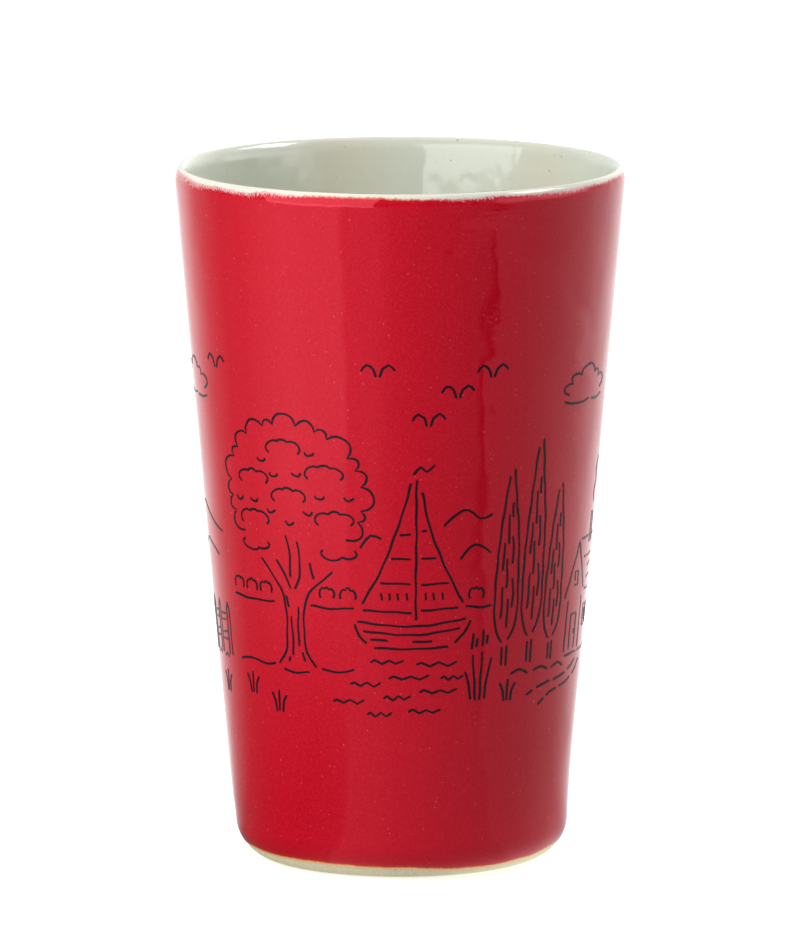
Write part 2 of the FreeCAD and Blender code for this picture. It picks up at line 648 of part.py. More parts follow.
def draw_haystacks():
    motifs = []
    dome_shares = (
        ((-0.40, 0.0), (-0.45, 0.30), (-0.33, 0.62), (-0.09, 0.93)),
        ((0.41, 0.0), (0.45, 0.30), (0.32, 0.62), (0.09, 0.93)),
        ((0.0, 0.99), (0.01, 1.16)),
        ((-0.30, -0.02), (0.0, -0.04), (0.31, -0.02)),
        ((-0.27, 0.18), (-0.22, 0.34)), ((-0.10, 0.12), (-0.07, 0.30)), ((0.10, 0.16), (0.08, 0.32)),
        ((0.27, 0.14), (0.23, 0.30)), ((-0.17, 0.48), (-0.11, 0.62)), ((0.03, 0.46), (0.02, 0.62)),
        ((0.19, 0.46), (0.14, 0.60)), ((-0.02, 0.74), (-0.01, 0.86)),
    )
    for azimuth, size_share in ((120, 1.0), (139, 0.8)):
        stack = Motif(azimuth, 17 * size_share, foot_share=0.0, height_share=0.30 * size_share)
        stack.curves_through(dome_shares)
        motifs.append(stack)
    return motifs


def draw_footbridge():
    bridge = Motif(azimuth=-128, span=44, foot_share=-0.06, height_share=0.26)

    def deck_share(across):
        return 0.34 * math.cos(math.pi * across)

    for lift, reach in ((0.0, 0.40), (0.11, 0.43)):
        places = (-reach, -reach / 2, 0.0, reach / 2, reach)
        bridge.curves_through([[(place, deck_share(place) + lift) for place in places]])
    posts = (-0.42, -0.21, 0.0, 0.21, 0.42)
    for place in posts:
        foot, top = deck_share(place) + 0.20, deck_share(place) + 0.62
        left, right = place - 0.017, place + 0.017
        bridge.lines_through([((left, foot), (left, top), (right, top), (right, foot))])
    for left, right in zip(posts, posts[1:]):
        start, end = left + 0.045, right - 0.045
        for lift in (0.37, 0.53):
            places = (start, (start + end) / 2, end)
            bridge.curves_through([[(place, deck_share(place) + lift) for place in places]])
    ripple_shares = (
        ((-0.30, -0.10), (-0.20, -0.06), (-0.10, -0.11)), ((0.04, -0.08), (0.14, -0.12), (0.24, -0.07)),
        ((-0.14, -0.28), (-0.04, -0.24), (0.06, -0.29)), ((0.16, -0.30), (0.26, -0.26)),
    )
    bridge.curves_through(ripple_shares)
    return [bridge]


def draw_clouds():
    motifs = []
    for azimuth, span in ((64, 26), (-80, 26), (150, 22)):
        cloud = Motif(azimuth, span, foot_share=0.92, height_share=0.18)
        cloud.scallops((0.0, 0.30), (0.38, 0.40), 0, 180, 5, 0.28)
        cloud.curves_through([
            ((-0.44, 0.16), (-0.20, 0.10), (0.05, 0.14)),
            ((0.14, 0.13), (0.28, 0.10), (0.43, 0.17)),
        ])
        motifs.append(cloud)
    return motifs


def draw_sun():
    sun = Motif(azimuth=-128, span=21, foot_share=0.80, height_share=0.26)
    sun.arc((0.0, 0.5), (0.22, 0.22), 12, 348)
    rays = 10
    for i in range(rays):
        angle = 2 * math.pi * (i + 0.5) / rays
        sun.lines_through([[(r * math.cos(angle), 0.5 + r * math.sin(angle)) for r in (0.31, 0.46)]])
    return [sun]


def draw_birds():
    motifs = []
    wing_shares = (
        ((-0.50, 0.55), (-0.34, 0.95), (-0.14, 0.70), (-0.07, 0.15)),
        ((0.07, 0.15), (0.14, 0.72), (0.32, 1.0), (0.50, 0.62)),
    )
    places = ((16, 1.0), (26, 1.07), (-6, 1.08), (8, 0.90), (96, 1.0), (108, 1.08), (-61, 1.06), (-105, 1.1),
              (172, 1.07), (-157, 0.95))
    for azimuth, foot_share in places:
        bird = Motif(azimuth, 9, foot_share, height_share=0.052)
        bird.curves_through(wing_shares)
        motifs.append(bird)
    return motifs


DRAWINGS = {
    "ink_oak": draw_oak,
    "ink_sailboat": draw_sailboat,
    "ink_water": draw_water,
    "ink_far_shore": draw_far_shore,
    "ink_poplars": draw_poplars,
    "ink_cottage": draw_cottage,
    "ink_fence": draw_fence,
    "ink_reeds": draw_reeds,
    "ink_grass": draw_grass,
    "ink_footpath": draw_footpath,
    "ink_birches": draw_birches,
    "ink_haystacks": draw_haystacks,
    "ink_footbridge": draw_footbridge,
    "ink_clouds": draw_clouds,
    "ink_sun": draw_sun,
    "ink_birds": draw_birds,
}


def make_ink(draw, surface):
    """The ink of one kind of drawn thing, each stroke a solid of its own."""
    strokes = []
    for motif in draw():
        strokes.extend(motif.solids(surface))
    return Part.makeCompound(strokes)


def main():
    os.makedirs(PARTS_FOLDER, exist_ok=True)
    red, liner = make_glaze_coats()
    nodes = {"clay_body": make_clay_body(), "red_glaze": red, "liner_glaze": liner}
    surface = wall_surface()
    for name, draw in DRAWINGS.items():
        nodes[name] = make_ink(draw, surface)
    for name, shape in nodes.items():
        shape.exportStep(os.path.join(PARTS_FOLDER, name + ".step"))
        print(name, len(shape.Solids), "solids", round(shape.Volume, 3), "mm3", shape.isValid())


if __name__ == "__main__":
    main()
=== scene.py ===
import bpy
import math
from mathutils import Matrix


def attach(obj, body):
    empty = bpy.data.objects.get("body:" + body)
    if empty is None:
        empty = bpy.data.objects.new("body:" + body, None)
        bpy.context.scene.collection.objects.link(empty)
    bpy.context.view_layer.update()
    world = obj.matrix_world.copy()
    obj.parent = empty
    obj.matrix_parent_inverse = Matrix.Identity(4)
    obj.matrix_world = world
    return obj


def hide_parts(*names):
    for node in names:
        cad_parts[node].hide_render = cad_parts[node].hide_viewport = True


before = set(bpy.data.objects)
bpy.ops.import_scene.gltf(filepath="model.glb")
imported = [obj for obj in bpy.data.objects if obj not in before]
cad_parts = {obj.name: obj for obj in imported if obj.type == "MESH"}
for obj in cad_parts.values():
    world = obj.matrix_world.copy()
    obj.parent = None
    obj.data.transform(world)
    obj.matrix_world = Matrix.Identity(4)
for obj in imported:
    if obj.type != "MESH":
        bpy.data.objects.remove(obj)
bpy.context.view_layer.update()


# Clay body. One piece of pale stoneware, thrown as a tapered tumbler and fired; its foot was wiped
# bare before the glaze firing, so only the rounded foot and the ring under it show.

MM = 0.001
TURNS = 256                     # facets round the cup
CUP_HEIGHT = 126.5              # sizes in millimetres, of the glazed cup
RIM_RADIUS = 41.0
FOOT_CORNER_RADIUS = 29.5
GLAZE = 0.3
LIP_CREST = 39.685              # radius of the lip's highest line
SHOULDER_DROP = 3.4             # the outside starts to round over towards the lip this far under it
INNER_DROP = 2.6                # and the inside here
INNER_FOOT_RADIUS = 25.431      # radius of the inside wall's line, carried down to the table
INNER_LEAN = 0.1041             # and its lean, as radius won in a millimetre of height
SWELL = 0.25                    # the inner wall swells under the lip, twice this far at its thickest
SWELL_DEPTH = 40.0              # and over this depth
FOOT_ROUND = 7.4
FLOOR_LEVEL = 5.2
FLOOR_ROUND = 9.0
FLOOR_CENTRE = (17.861, 14.2)
RING_WIDTH = 4.0
RING_ROUND = 0.35               # on the ring's inner edge
WELL_DEPTH = 1.6
WELL_ROUND = 1.0
DENT_AZIMUTH = -85              # degrees; the foot stands in a little on its left
DENT_DEPTH = 0.25
DENT_TOP = 12.0                 # up to this height
BULGE_AZIMUTH = 60              # degrees; and out on its right
BULGE_DEPTH = 0.42
BULGE_FADE = 5.0                # which fades from this height
BULGE_TOP = 17.0                # to this one
LIP_STEPS = 14                  # points along each stretch of the outline
FOOT_STEPS = 24
WALL_STEPS = 24
INSIDE_STEPS = 20
CORNER_STEPS = 12
FLAT_STEPS = 5
SMALL_STEPS = 4
CREST_STEP = 6                  # degrees between the outline's points on the shoulder
WELD = 0.002                    # points closer than this are one
CREASE = 40                     # degrees past which an edge stays sharp

CLAY = (0.62, 0.59, 0.44)
CLAY_LIGHT = (0.93, 0.87, 0.64, 1)
CLAY_DARK = (0.84, 0.76, 0.50, 1)
CLAY_GRAIN = (0.62, 0.56, 0.38, 1)
PIT_BROWN = (0.22, 0.18, 0.12, 1)
PITS = (0.0012, 0.00024, 0.6)   # spacing and size in metres, and the share that shows

WALL_RUN = RIM_RADIUS - FOOT_CORNER_RADIUS
WALL_LENGTH = math.hypot(WALL_RUN, CUP_HEIGHT)
WALL_NORMAL = (CUP_HEIGHT / WALL_LENGTH, -WALL_RUN / WALL_LENGTH)
WALL_LEAN = math.degrees(math.atan2(WALL_RUN, CUP_HEIGHT))
CLAY_FOOT_ROUND = FOOT_ROUND - GLAZE
FOOT_CENTRE = (
    FOOT_CORNER_RADIUS - (FOOT_ROUND + WALL_NORMAL[1] * CLAY_FOOT_ROUND) / WALL_NORMAL[0],
    CLAY_FOOT_ROUND,
)
RING_INNER = FOOT_CENTRE[0] - RING_WIDTH


def lip_quarter(corner, drop, lean, rise):
    """Point and outward normal on one side of the lip, from the wall (rise 0) to the crest (rise 1)."""
    side = 1 if corner > LIP_CREST else -1
    flat = math.sqrt(max(0.0, 1 - rise * rise))
    radius = corner - lean * drop * (1 - rise) - (corner - LIP_CREST) * (1 - flat)
    run = lean * drop * flat - (corner - LIP_CREST) * rise
    climb = drop * flat
    length = math.hypot(run, climb)
    return radius, side * climb / length, -side * run / length


def outside(height):
    """Radius of the glazed outside at a height, and its outward normal."""
    foot_top = FOOT_CENTRE[1] + FOOT_ROUND * WALL_NORMAL[1]
    if height < foot_top:
        rise = (height - FOOT_CENTRE[1]) / FOOT_ROUND
        reach = math.sqrt(max(0.0, 1 - rise * rise))
        return FOOT_CENTRE[0] + FOOT_ROUND * reach, reach, rise
    drop = CUP_HEIGHT - height
    if drop >= SHOULDER_DROP:
        return FOOT_CORNER_RADIUS + WALL_RUN * height / CUP_HEIGHT, *WALL_NORMAL
    return lip_quarter(RIM_RADIUS, SHOULDER_DROP, WALL_RUN / CUP_HEIGHT, 1 - drop / SHOULDER_DROP)


def under(height, depth):
    """Point (radius, height) a given depth under the glazed outside."""
    radius, out, up = outside(height)
    return radius - out * depth, height - up * depth


def bend(centre, radius, start, end, count):
    """Points round a corner, from one angle to another in degrees."""
    angles = [math.radians(start + (end - start) * i / count) for i in range(count + 1)]
    return [(centre[0] + radius * math.cos(a), centre[1] + radius * math.sin(a)) for a in angles]


def line_of(start, end, count):
    """Evenly spaced points on a straight run, without its ends."""
    return [tuple(a + (b - a) * i / count for a, b in zip(start, end)) for i in range(1, count)]


def inner_skin(depth, rows):
    """Points from the top of the lip down the inside to the middle of the floor."""
    lip = []
    for i in range(LIP_STEPS + 1):
        rise = math.cos(math.pi / 2 * i / LIP_STEPS)
        corner_radius = INNER_FOOT_RADIUS + INNER_LEAN * CUP_HEIGHT
        radius, out, up = lip_quarter(corner_radius, INNER_DROP, INNER_LEAN, rise)
        lip.append((radius - out * depth, CUP_HEIGHT - INNER_DROP * (1 - rise) - up * depth))
    lean_angle = math.degrees(math.atan(INNER_LEAN))
    corner = bend(FLOOR_CENTRE, FLOOR_ROUND + depth, -lean_angle, -90, CORNER_STEPS)
    floor = (0.0, FLOOR_LEVEL - depth)
    wall = []
    for radius, level in line_of(lip[-1], corner[0], rows):
        share = min(1.0, (lip[-1][1] - level) / SWELL_DEPTH)
        wall.append((radius - SWELL * (1 - math.cos(math.tau * share)), level))
    return lip + wall + corner + line_of(corner[-1], floor, FLAT_STEPS) + [floor]


def facing(azimuth, middle):
    """1 on the side at an azimuth, easing to 0 a quarter turn away."""
    return max(0.0, math.cos(math.radians(azimuth - middle))) ** 2


def dent(azimuth, height):
    """How far the foot stands back from the round, in millimetres: in on its left, out on its right."""
    inward = DENT_DEPTH * facing(azimuth, DENT_AZIMUTH) * math.sin(math.pi * min(1.0, height / DENT_TOP))
    fade = min(1.0, max(0.0, (height - BULGE_FADE) / (BULGE_TOP - BULGE_FADE)))
    outward = BULGE_DEPTH * facing(azimuth, BULGE_AZIMUTH) * (1 + math.cos(math.pi * fade)) / 2
    return inward - outward


def polar(vertex):
    """Radius, azimuth and height of a vertex; the azimuth is 0 towards -Y and grows towards +X."""
    x, y, level = (value / MM for value in vertex.co)
    return math.hypot(x, y), math.degrees(math.atan2(x, -y)), level


def place(vertex, radius, azimuth, level):
    """Moves a vertex to a radius, azimuth and height."""
    angle = math.radians(azimuth)
    vertex.co = (radius * math.sin(angle) * MM, -radius * math.cos(angle) * MM, level * MM)


def throw(name, outline, turns=TURNS):
    """Draws an outline by extruding a point, and spins it about the cup's axis into a shut shell."""
    bpy.ops.object.select_all(action="DESELECT")
    bpy.ops.mesh.primitive_plane_add(size=MM)
    piece = bpy.context.object
    piece.name = piece.data.name = name
    bpy.ops.object.mode_set(mode="EDIT")
    bpy.ops.mesh.select_all(action="SELECT")
    bpy.ops.mesh.merge(type="CENTER")
    bpy.ops.transform.translate(value=(outline[0][0] * MM, 0, outline[0][1] * MM))
    for start, end in zip(outline, outline[1:]):
        step = ((end[0] - start[0]) * MM, 0, (end[1] - start[1]) * MM)
        bpy.ops.mesh.extrude_region_move(TRANSFORM_OT_translate={"value": step})
    bpy.ops.mesh.select_all(action="SELECT")
    bpy.ops.mesh.spin(steps=turns, angle=math.tau, center=(0, 0, 0), axis=(0, 0, 1))
    bpy.ops.mesh.select_all(action="SELECT")
    bpy.ops.mesh.remove_doubles(threshold=WELD * MM)
    bpy.ops.mesh.normals_make_consistent(inside=False)
    bpy.ops.object.mode_set(mode="OBJECT")
    bpy.ops.object.shade_smooth_by_angle(angle=math.radians(CREASE))
    return piece


def add(tree, kind, feeds=(), **settings):
    """Adds a shader node, sets it up, and links or sets its inputs."""
    node = tree.nodes.new(kind)
    for key, value in settings.items():
        setattr(node, key, value)
    for socket, value in feeds:
        if isinstance(value, bpy.types.NodeSocket):
            tree.links.new(value, node.inputs[socket])
        else:
            node.inputs[socket].default_value = value
    return node


def sums(tree, operation, *values):
    """One step of arithmetic."""
    return add(tree, "ShaderNodeMath", list(enumerate(values)), operation=operation).outputs[0]


def times(tree, *values):
    """Product of two or more values."""
    result = values[0]
    for value in values[1:]:
        result = sums(tree, "MULTIPLY", result, value)
    return result


def ease(tree, value, low, high, start=0.0, end=1.0):
    """Turns a value between low and high into a soft step from start to end."""
    feeds = [(0, value), (1, low), (2, high), (3, start), (4, end)]
    return add(tree, "ShaderNodeMapRange", feeds, interpolation_type="SMOOTHSTEP").outputs[0]


def tint(tree, share, one, other):
    """Blends two colours by a share."""
    feeds = [(0, share), (6, one), (7, other)]
    return add(tree, "ShaderNodeMix", feeds, data_type="RGBA").outputs[2]


def cloud(tree, where, scale, detail=2.0, roughness=0.5):
    """Noise from 0 to 1 over the surface; scale is the number of clouds in a metre."""
    feeds = [("Vector", where), ("Scale", scale), ("Detail", detail), ("Roughness", roughness)]
    return add(tree, "ShaderNodeTexNoise", feeds).outputs["Fac"]


def dots(tree, where, spacing, size, kept):
    """Scattered round dots, 1 inside and 0 outside; spacing and size in metres, kept is their share."""
    cells = add(tree, "ShaderNodeTexVoronoi", [("Vector", where), ("Scale", 1 / spacing)])
    chance = add(tree, "ShaderNodeSeparateColor", [(0, cells.outputs["Color"])])
    reach = sums(tree, "MULTIPLY_ADD", chance.outputs[1], size / spacing * 0.5, size / spacing * 0.25)
    inside = ease(tree, sums(tree, "DIVIDE", cells.outputs["Distance"], reach), 0.7, 1.2, 1.0, 0.0)
    return times(tree, inside, sums(tree, "LESS_THAN", chance.outputs[0], kept))


def finish(name, colour, roughness, ior=1.5):
    """Starts a material, and returns it with its tree, shader and Object coordinates."""
    material = bpy.data.materials.new(name)
    material.use_nodes = True
    tree = material.node_tree
    shader = tree.nodes["Principled BSDF"]
    shader.inputs["Base Color"].default_value = (*colour, 1)
    shader.inputs["Roughness"].default_value = roughness
    shader.inputs["IOR"].default_value = ior
    return material, tree, shader, add(tree, "ShaderNodeTexCoord").outputs["Object"]


def bumps(tree, shader, layers):
    """Raises the surface by layers of (height map, distance in metres, strength)."""
    normal = None
    for height, distance, strength in layers:
        feeds = [("Strength", strength), ("Distance", distance), ("Height", height)]
        if normal:
            feeds.append(("Normal", normal))
        normal = add(tree, "ShaderNodeBump", feeds).outputs["Normal"]
    tree.links.new(normal, shader.inputs["Normal"])


well_corner = (RING_INNER - WELL_ROUND, WELL_DEPTH - WELL_ROUND)
ring_corner = (RING_INNER + RING_ROUND, RING_ROUND)
foot = bend(FOOT_CENTRE, CLAY_FOOT_ROUND, -90, -WALL_LEAN, FOOT_STEPS)
shoulder_low = CUP_HEIGHT - SHOULDER_DROP
shoulder = [shoulder_low + SHOULDER_DROP * math.sin(math.radians(a)) for a in range(0, 90, CREST_STEP)]
clay_outline = (
    [(0.0, WELL_DEPTH)]
    + line_of((0.0, WELL_DEPTH), (well_corner[0], WELL_DEPTH), FLAT_STEPS)
    + bend(well_corner, WELL_ROUND, 90, 0, SMALL_STEPS + 2)
    + bend(ring_corner, RING_ROUND, 180, 270, SMALL_STEPS)
    + line_of((ring_corner[0], 0.0), foot[0], SMALL_STEPS)
    + foot
    + line_of(foot[-1], under(shoulder_low, GLAZE), WALL_STEPS)
    + [under(height, GLAZE) for height in shoulder]
    + inner_skin(GLAZE, INSIDE_STEPS)
)
clay = throw("clay_body_piece", clay_outline)
for vertex in clay.data.vertices:
    radius, azimuth, level = polar(vertex)
    if radius > RING_INNER and level < BULGE_TOP:
        share = min(1.0, (radius - RING_INNER) / RING_WIDTH)
        place(vertex, radius - share * dent(azimuth, level), azimuth, level)

clay_finish, tree, shader, where = finish("unglazed_clay", CLAY, 0.85)
broad = cloud(tree, where, 90, 3)
grain = cloud(tree, where, 2600, 4, 0.65)
colour = tint(tree, broad, CLAY_LIGHT, CLAY_DARK)
colour = tint(tree, ease(tree, grain, 0.35, 0.7, 0.0, 0.7), colour, CLAY_GRAIN)
pits = dots(tree, where, *PITS)
colour = tint(tree, times(tree, pits, 0.55), colour, PIT_BROWN)
tree.links.new(colour, shader.inputs["Base Color"])
bumps(tree, shader, [(grain, 0.00006, 0.8), (pits, -0.00012, 1.0)])
clay.data.materials.append(clay_finish)
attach(clay, "root")
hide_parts("clay_body")


# Red glaze. A glossy coat a third of a millimetre thick that the cup was dipped in; it breaks into
# white hairs under the lip and thins to an amber line where the foot was wiped.

RED_TURNS = 360
SEAM_DROP = 1.5                 # where the coat is drawn to start, before the seam is pulled about
SEAM_OVERLAP = 0.3              # the red starts this far above the seam that shows
FOOT_LINE = 2.6
PULL_REACH = 9.0                # the pull at either edge fades over this height
SEAM_LEAST = 0.08               # the seam stays at least this far under the rim
THIN_REACH = 4.2                # the coat thins over this height above the foot line
THIN_DEPTH = 0.20               # by this much
MIDDLE_ROWS = 24
BACK_ROWS = 12
SEAM_RIPPLES = ((0.08, 11, 0), (0.06, 23, 40))  # millimetres, waves round the cup, start in degrees
FOOT_RIPPLES = ((0.05, 9, 20), (0.03, 31, 0))
SEAM_PLACES = (                 # azimuth in degrees, and millimetres under the rim
    (-180, 1.2), (-150, 0.8), (-120, 1.4), (-100, 0.5), (-84, 0.25), (-76, 0.4), (-66, 0.8), (-56, 0.75),
    (-47, 0.9), (-42, 1.0), (-36, 0.6), (-26, 0.5), (-18, 0.45), (0, 0.6), (18, 0.8), (32, 0.75), (46, 0.9),
    (56, 0.85), (72, 0.65), (90, 0.8), (118, 0.8), (145, 1.3), (165, 0.9),
)
FOOT_PLACES = (                 # azimuth in degrees, and millimetres above the table
    (-180, 2.4), (-140, 3.1), (-100, 3.3), (-71, 2.75), (-51, 2.4), (-38, 2.3), (-21, 2.2), (0, 2.0),
    (20, 1.5), (37, 1.5), (51, 1.95), (70, 3.0), (95, 3.3), (125, 2.6), (155, 2.0),
)
FRINGE_PLACES = (               # azimuth in degrees, and the reach of the white hairs in millimetres
    (-180, 0.9), (-150, 0.3), (-120, 1.5), (-90, 0.8), (-76, 1.9), (-66, 1.9), (-58, 1.2), (-50, 1.2),
    (-38, 1.3), (-30, 0.9), (-22, 0.3), (-8, 0.25), (5, 0.25), (12, 0.8), (22, 1.1), (30, 0.5), (40, 0.8),
    (52, 0.9), (62, 0.4), (80, 0.6), (110, 1.2), (140, 0.3), (160, 1.0),
)
AMBER_PLACES = (                # azimuth in degrees, and the share of the warm blush at the seam
    (-180, 0.2), (-90, 0.1), (-40, 0.0), (-22, 0.5), (-8, 1.0), (4, 0.8), (12, 0.2), (40, 0.1), (100, 0.5),
)
COAT_RED = (0.56, 0.006, 0.022)
SHINE_RED = (1.0, 0.22, 0.28, 1)
RED_DEEP = (0.54, 0.0022, 0.014, 1)
RED_BROAD = (0.58, 0.004, 0.018, 1)
RED_FINE_LIGHT = (0.62, 0.010, 0.028, 1)
RED_FINE_DARK = (0.46, 0.002, 0.011, 1)
RED_GRAIN_LIGHT = (0.71, 0.020, 0.044, 1)
RED_GRAIN_DARK = (0.43, 0.002, 0.010, 1)
RED_DEEPER_LOW = (0.50, 0.003, 0.016, 1)
SPECK_PINK = (0.85, 0.14, 0.15, 1)
SPECKS = (0.0012, 0.00024, 0.6)  # spacing and size in metres, and the share that shows
BLUSH_ORANGE = (0.86, 0.34, 0.15, 1)
SEAM_PINK = (0.80, 0.30, 0.28, 1)
HAIR_WHITE = (0.80, 0.66, 0.64, 1)
CELADON = (0.74, 0.76, 0.67, 1)
EDGE_RUST = (0.58, 0.040, 0.012, 1)
EDGE_ORANGE = (0.88, 0.28, 0.055, 1)
EDGE_CREAM = (0.95, 0.64, 0.28, 1)
COAT_ROUGHNESS = 0.045


def round_the_cup(places, azimuth):
    """Value at an azimuth on a soft line through places (azimuth, value) that runs round the cup."""
    ring = list(places) + [(places[0][0] + 360, places[0][1])]
    for (a, low), (b, high) in zip(ring, ring[1:]):
        if a <= azimuth <= b:
            share = (azimuth - a) / (b - a)
            return low + (high - low) * share * share * (3 - 2 * share)
    return ring[0][1]


def ripple(azimuth, waves):
    """Small unevenness at an azimuth, the sum of a few waves (size, number, start)."""
    return sum(size * math.sin(math.radians(number * azimuth + start)) for size, number, start in waves)


def seam_at(azimuth):
    """Height of the geometric seam between the coats."""
    drop = round_the_cup(SEAM_PLACES, azimuth) + ripple(azimuth, SEAM_RIPPLES) - SEAM_OVERLAP
    return CUP_HEIGHT - max(SEAM_LEAST, drop)


def foot_at(azimuth):
    """Height of the red glaze's lower edge."""
    return round_the_cup(FOOT_PLACES, azimuth) + ripple(azimuth, FOOT_RIPPLES)


def drawn_row(rows, known, radius, level):
    """The row (height, depth) that a point of a thrown shell was drawn from; known keeps the answers."""
    key = (round(radius, 2), round(level, 2))
    if key not in known:
        known[key] = min(rows, key=lambda row: math.dist(under(*row), (radius, level)))
    return known[key]


# Rows of the coat's outline: height on the cup and depth under its outside, down the face and back up
seam_level = CUP_HEIGHT - SEAM_DROP
middle_top = seam_level - PULL_REACH
middle_low = FOOT_LINE + PULL_REACH
from_seam = (0, 0.1, 0.2, 0.35, 0.5, 0.7, 0.9, 1.1, 1.3, 1.5, 1.7, 1.9, 2.2, 2.6, 3.2, 4.0, 5.0, 6.5, 8.0)
from_foot = (8.0, 7.0, 6.0, 5.0, 4.2, 3.4, 2.7, 2.1, 1.6, 1.2, 0.9, 0.6, 0.4, 0.2)
face_rows = [(seam_level - drop, 0.0) for drop in from_seam] + [(middle_top, 0.0)]
face_rows += line_of((middle_top, 0.0), (middle_low, 0.0), MIDDLE_ROWS) + [(middle_low, 0.0)]
face_rows += [(FOOT_LINE + rise, THIN_DEPTH * max(0.0, 1 - rise / THIN_REACH) ** 2) for rise in from_foot]
face_rows += [(FOOT_LINE + 0.06, 0.21), (FOOT_LINE + 0.01, 0.25), (FOOT_LINE, GLAZE)]
back_rows = [(FOOT_LINE + rise, GLAZE) for rise in (0.5, 1.5, 3.0, 5.0)] + [(middle_low, GLAZE)]
back_rows += line_of((middle_low, GLAZE), (middle_top, GLAZE), BACK_ROWS) + [(middle_top, GLAZE)]
back_rows += [(seam_level - drop, GLAZE) for drop in (5.0, 3.0, 1.5, 0.7, 0)]
red_rows = face_rows + back_rows + face_rows[:1]
red = throw("red_glaze_piece", [under(*row) for row in red_rows], RED_TURNS)

# The coat's two edges are pulled up and down round the cup, and the pull fades towards the middle
known = {}
notes = {"below_seam": [], "above_foot": [], "fringe": [], "amber": []}
for vertex in red.data.vertices:
    radius, azimuth, level = polar(vertex)
    height, depth = drawn_row(red_rows, known, radius, level)
    seam, foot_line = seam_at(azimuth), foot_at(azimuth)
    height += (seam - seam_level) * max(0.0, 1 - (seam_level - height) / PULL_REACH)
    height += (foot_line - FOOT_LINE) * max(0.0, 1 - (height - FOOT_LINE) / PULL_REACH)
    radius, level = under(height, depth)
    place(vertex, radius - dent(azimuth, level), azimuth, level)
    notes["below_seam"].append(seam - height)
    notes["above_foot"].append(height - foot_line)
    notes["fringe"].append(round_the_cup(FRINGE_PLACES, azimuth))
    notes["amber"].append(round_the_cup(AMBER_PLACES, azimuth))
for name, values in notes.items():
    red.data.attributes.new(name, "FLOAT", "POINT").data.foreach_set("value", values)


def note(tree, name):
    """The value that the mesh carries under a name."""
    return add(tree, "ShaderNodeAttribute", attribute_name=name).outputs["Fac"]


# The red itself: broad clouds, fine clouds, grain and paler specks, and a deeper red towards the foot
red_finish, tree, shader, where = finish("red_glaze_coat", COAT_RED, COAT_ROUGHNESS, 1.55)
shader.inputs["Specular Tint"].default_value = SHINE_RED
below = note(tree, "below_seam")
above = note(tree, "above_foot")
reach = note(tree, "fringe")
warm = note(tree, "amber")
broad = cloud(tree, where, 38, 3)
fine = cloud(tree, where, 1500, 3, 0.6)
grain = cloud(tree, where, 4400, 2, 0.7)
specks = dots(tree, where, *SPECKS)
colour = tint(tree, broad, RED_DEEP, RED_BROAD)
colour = tint(tree, ease(tree, fine, 0.45, 0.75, 0.0, 0.55), colour, RED_FINE_LIGHT)
colour = tint(tree, ease(tree, fine, 0.25, 0.45, 0.30, 0.0), colour, RED_FINE_DARK)
colour = tint(tree, ease(tree, grain, 0.48, 0.70, 0.0, 0.55), colour, RED_GRAIN_LIGHT)
colour = tint(tree, ease(tree, grain, 0.30, 0.48, 0.45, 0.0), colour, RED_GRAIN_DARK)
colour = tint(tree, times(tree, specks, 0.35), colour, SPECK_PINK)
colour = tint(tree, ease(tree, above, 0.5, 6.0, 0.35, 0.0), colour, RED_DEEPER_LOW)

# White hairs and the amber blush under the lip; past is how far under the ragged seam, in millimetres
stretched = add(tree, "ShaderNodeMapping", [("Vector", where), ("Scale", (1, 1, 0.24))]).outputs[0]
streaks = cloud(tree, stretched, 4800, 2, 0.7)
crumbs = cloud(tree, where, 5200, 1)
ragged = sums(tree, "MULTIPLY_ADD", cloud(tree, where, 1300, 3), 0.6, SEAM_OVERLAP - 0.32)
past = sums(tree, "SUBTRACT", below, ragged)
spent = sums(tree, "DIVIDE", past, reach)
whites = sums(tree, "MULTIPLY_ADD", streaks, 0.65, times(tree, crumbs, 0.35))
hairs = ease(tree, sums(tree, "MULTIPLY_ADD", spent, -0.26, whites), 0.36, 0.47)
hairs = times(tree, hairs, ease(tree, spent, 0.3, 1.05, 1.0, 0.0))
blush = times(tree, ease(tree, past, 0.05, 0.5, 1.0, 0.0), warm, 0.85)
colour = tint(tree, blush, colour, BLUSH_ORANGE)
colour = tint(tree, ease(tree, past, -0.05, 0.4, 0.4, 0.0), colour, SEAM_PINK)
colour = tint(tree, times(tree, hairs, 0.72), colour, HAIR_WHITE)
colour = tint(tree, ease(tree, past, -0.10, 0.08, 1.0, 0.0), colour, CELADON)

# Amber line where the coat thins out over the clay
edge = sums(tree, "MULTIPLY_ADD", cloud(tree, where, 1300, 2), -0.35, above)
colour = tint(tree, ease(tree, edge, 0.3, 1.1, 1.0, 0.0), colour, EDGE_RUST)
colour = tint(tree, ease(tree, edge, 0.28, 0.58, 1.0, 0.0), colour, EDGE_ORANGE)
colour = tint(tree, ease(tree, edge, 0.14, 0.38, 1.0, 0.0), colour, EDGE_CREAM)
tree.links.new(colour, shader.inputs["Base Color"])
tree.links.new(ease(tree, edge, 0.0, 0.5, 0.35, COAT_ROUGHNESS), shader.inputs["Roughness"])

# Slow swells, drips close under the lip, and the glaze's orange peel
swell = cloud(tree, where, 75, 1)
drips = times(tree, cloud(tree, where, 210, 2), ease(tree, below, 1.0, 4.5, 1.0, 0.0))
peel = cloud(tree, where, 520, 1)
bumps(tree, shader, [
    (swell, 0.0004, 0.5), (drips, 0.00022, 0.6), (peel, 0.00001, 0.6), (specks, -0.00003, 0.7),
])
red.data.materials.append(red_finish)
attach(red, "root")
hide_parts("red_glaze")


# Celadon liner. A pale grey-green glaze poured inside and run out over the lip, where it meets the
# red; fine iron specks from the clay show through it.

